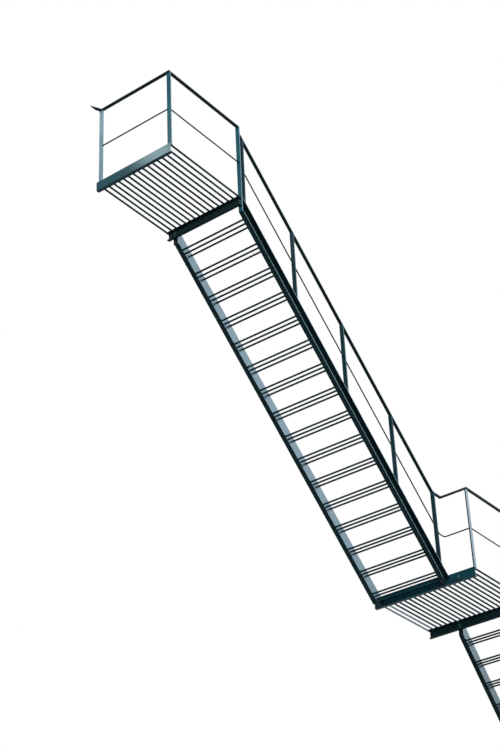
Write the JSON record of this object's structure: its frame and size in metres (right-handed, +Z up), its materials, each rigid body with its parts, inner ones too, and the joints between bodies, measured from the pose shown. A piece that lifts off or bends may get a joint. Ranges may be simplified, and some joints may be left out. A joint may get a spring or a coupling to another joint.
{
  "type": "fire escape stair",
  "caption": "Painted steel fire escape on a wall: narrow open-bar landings carried by channel bearers, joined by steep open-bar flights with one flat-bar handrail.",
  "frame": {"origin": "centre of the web's end face, at the wall, of the upper landing's left bearer", "axes": "+X along the wall in the direction of going down, +Y into the wall, +Z up; the stair is on the -Y side of the wall plane y = 0"},
  "size_m": [9.3745, 1.4285, 7.842],
  "materials": {
    "bearer_paint": "gloss",
    "stringer_paint": "gloss",
    "bar_paint": "gloss",
    "post_paint": "gloss",
    "rail_paint": "gloss",
    "foot_paint": "gloss"
  },
  "bodies": {
    "root": {"upper_left_bearer": "bearer_paint", "upper_right_bearer": "bearer_paint", "upper_deck_bars": "bar_paint", "upper_wall_post": "post_paint", "upper_left_corner_post": "post_paint", "upper_right_corner_post": "post_paint", "upper_end_top_rail": "rail_paint", "upper_front_top_rail": "rail_paint", "upper_rail_return": "rail_paint", "upper_end_mid_rail": "rail_paint", "upper_front_mid_rail": "rail_paint", "upper_flight_inner_stringer": "stringer_paint", "upper_flight_outer_stringer": "stringer_paint", "upper_flight_inner_hanger": "stringer_paint", "upper_flight_treads": "bar_paint", "upper_flight_posts": "post_paint", "upper_flight_handrail": "rail_paint", "upper_flight_mid_rail": "rail_paint", "lower_left_bearer": "bearer_paint", "lower_right_bearer": "bearer_paint", "lower_deck_bars": "bar_paint", "lower_left_corner_post": "post_paint", "lower_right_corner_post": "post_paint", "lower_end_top_rail": "rail_paint", "lower_end_mid_rail": "rail_paint", "lower_front_top_rail": "rail_paint", "lower_front_mid_rail": "rail_paint", "lower_flight_inner_stringer": "stringer_paint", "lower_flight_outer_stringer": "stringer_paint", "lower_flight_inner_hanger": "stringer_paint", "lower_flight_treads": "bar_paint", "lower_flight_posts": "post_paint", "lower_flight_handrail": "rail_paint", "lower_flight_mid_rail": "rail_paint", "lower_flight_foot_plates": "foot_paint"}
  },
  "joints": []
}
